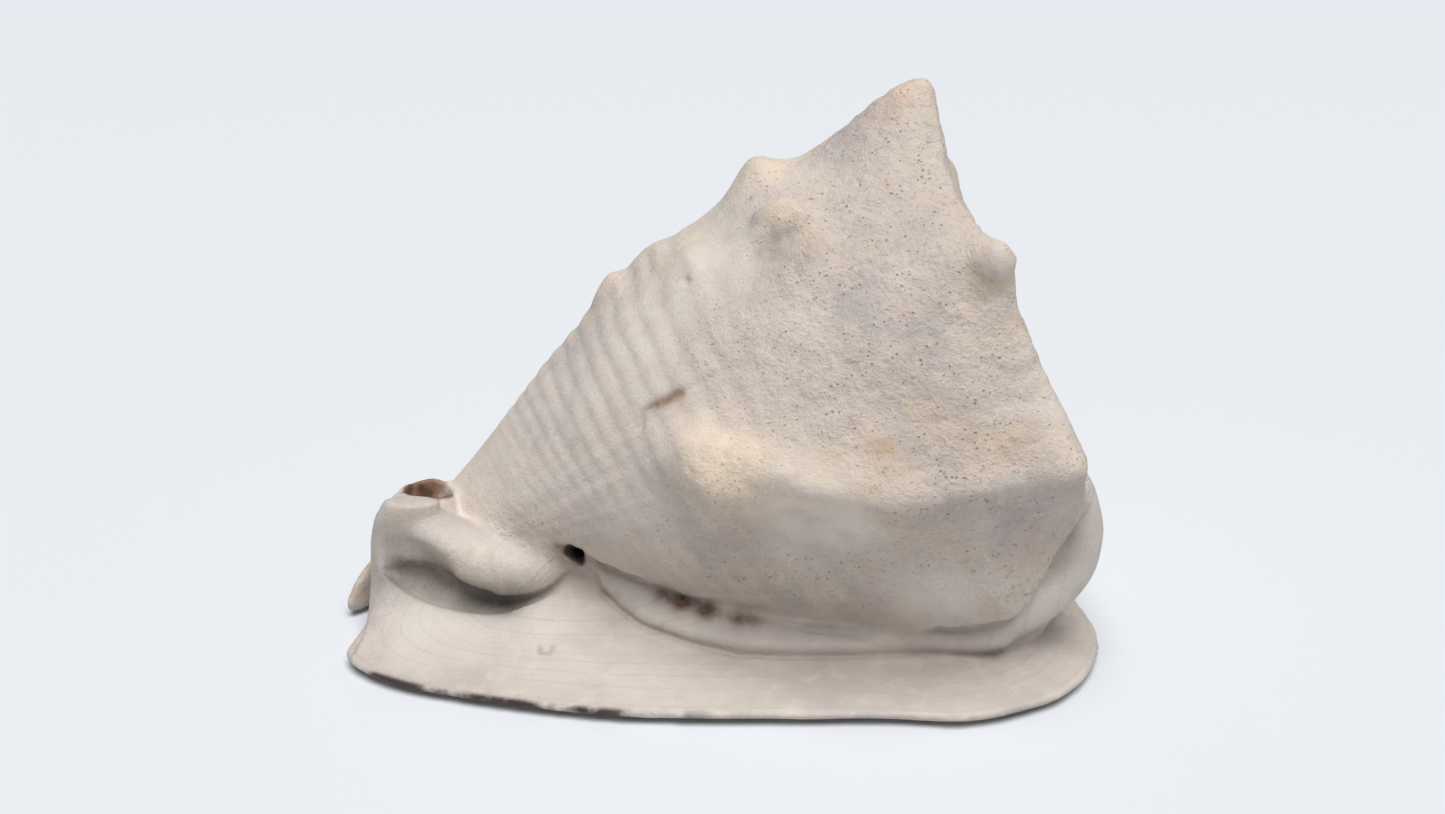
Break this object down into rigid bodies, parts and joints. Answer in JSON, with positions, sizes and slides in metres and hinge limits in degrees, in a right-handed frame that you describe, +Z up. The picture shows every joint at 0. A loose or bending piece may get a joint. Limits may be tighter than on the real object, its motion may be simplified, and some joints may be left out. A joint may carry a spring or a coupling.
{
  "type": "helmet shell",
  "caption": "Large horned helmet seashell lying on its shield and toothed outer lip, with a slot aperture below and an upturned canal at one end.",
  "frame": {"origin": "middle of the bounding box, at the height of the face the shell rests on", "axes": "+X from the siphonal canal to the spire, +Y from the parietal shield to the outer lip, +Z up"},
  "size_m": [0.2258, 0.1616, 0.1587],
  "materials": {
    "shell": "matt, chalky and pitted lime"
  },
  "bodies": {
    "root": {"shell": "shell"}
  },
  "joints": []
}
